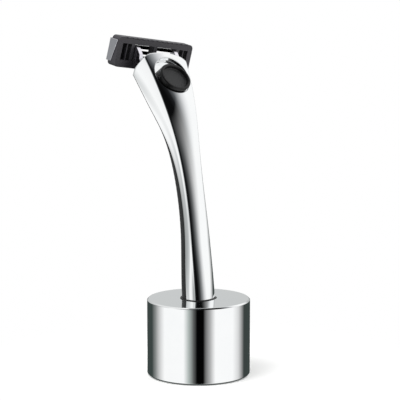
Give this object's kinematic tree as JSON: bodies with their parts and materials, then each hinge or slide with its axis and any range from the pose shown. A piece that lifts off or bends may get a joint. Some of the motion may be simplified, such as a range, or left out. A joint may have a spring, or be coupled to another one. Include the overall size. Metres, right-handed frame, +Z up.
{
  "type": "cartridge razor",
  "caption": "Metal safety razor with a pivoting clip-on blade head, a push-button release and a round weighted stand that holds it upright.",
  "frame": {"origin": "centre of the stand's round underside, on the surface it stands on", "axes": "+Z up; the handle's button face looks toward -Y, the blades toward +Y, and the blades run near +X"},
  "size_m": [0.0524, 0.0662, 0.1307],
  "materials": {
    "chrome_plate": "mirror-polished chrome plate on a zinc casting",
    "cast_iron": "as cast",
    "black_plastic": "moulded, fine texture",
    "zinc_steel": "zinc plated",
    "foot_rubber": "matt, non-slip",
    "grip_rubber": "satin moulded elastomer",
    "spring_steel": "drawn wire",
    "button_plastic": "satin to gloss",
    "polished_steel": "bright polished stainless",
    "frame_plastic": "moulded, satin",
    "guard_rubber": "soft fins",
    "blade_steel": "ground stainless",
    "strip_polymer": "waxy, slightly wet"
  },
  "bodies": {
    "stand": {"stand_shell": "chrome_plate", "stand_weight": "cast_iron", "socket_liner": "black_plastic", "stand_base_plate": "zinc_steel", "base_screws": "zinc_steel", "stand_foot_pad": "foot_rubber"},
    "handle": {"handle_shell": "chrome_plate", "back_grip": "grip_rubber", "arm_carrier": "black_plastic", "carrier_screw": "zinc_steel", "button_spring": "spring_steel", "plunger_spring": "spring_steel"},
    "button": {"release_button": "button_plastic", "button_slider": "zinc_steel"},
    "left_arm": {"arm_left": "polished_steel"},
    "right_arm": {"arm_right": "polished_steel"},
    "plunger": {"pivot_plunger": "black_plastic"},
    "cartridge": {"cartridge_frame": "frame_plastic", "guard_fins": "guard_rubber", "blade_1": "blade_steel", "blade_2": "blade_steel", "blade_3": "blade_steel", "lubricating_strip": "strip_polymer", "clip_left": "polished_steel", "clip_right": "polished_steel"}
  },
  "joints": [
    {"name": "razor_lift", "type": "slide", "parent": "stand", "child": "handle", "axis": [0.1272, 0.225, 0.966], "range_m": [0, 0.03]},
    {"name": "button_slide", "type": "slide", "parent": "handle", "child": "button", "axis": [0.1056, 0.5878, 0.8021], "range_m": [0, 0.003], "stiffness_N_per_m": 350, "springref_m": -0.003, "deforming": ["button_spring"]},
    {"name": "arm_left_squeeze", "type": "slide", "parent": "handle", "child": "left_arm", "axis": [0.9914, 0, -0.1305], "range_m": [0, 0.0013]},
    {"name": "arm_right_squeeze", "type": "slide", "parent": "handle", "child": "right_arm", "axis": [-0.9914, 0, 0.1305], "range_m": [0, 0.0013]},
    {"name": "head_pivot", "type": "hinge", "parent": "handle", "child": "cartridge", "pos_m": [0.0119, 0.04179, 0.12038], "axis": [0.9914, 0, -0.1305], "range_deg": [0, 35], "stiffness_Nm_per_rad": 0.004, "springref_deg": -20.05},
    {"name": "plunger_slide", "type": "slide", "parent": "handle", "child": "plunger", "axis": [-0.1056, -0.5878, -0.8021], "range_m": [0, 0.00077], "deforming": ["plunger_spring"]}
  ],
  "couplings": [
    {"joint": "arm_left_squeeze", "follows": "button_slide", "ratio": 0.43333},
    {"joint": "arm_right_squeeze", "follows": "button_slide", "ratio": 0.43333},
    {"joint": "plunger_slide", "follows": "head_pivot", "m_per_rad": 0.00125}
  ]
}
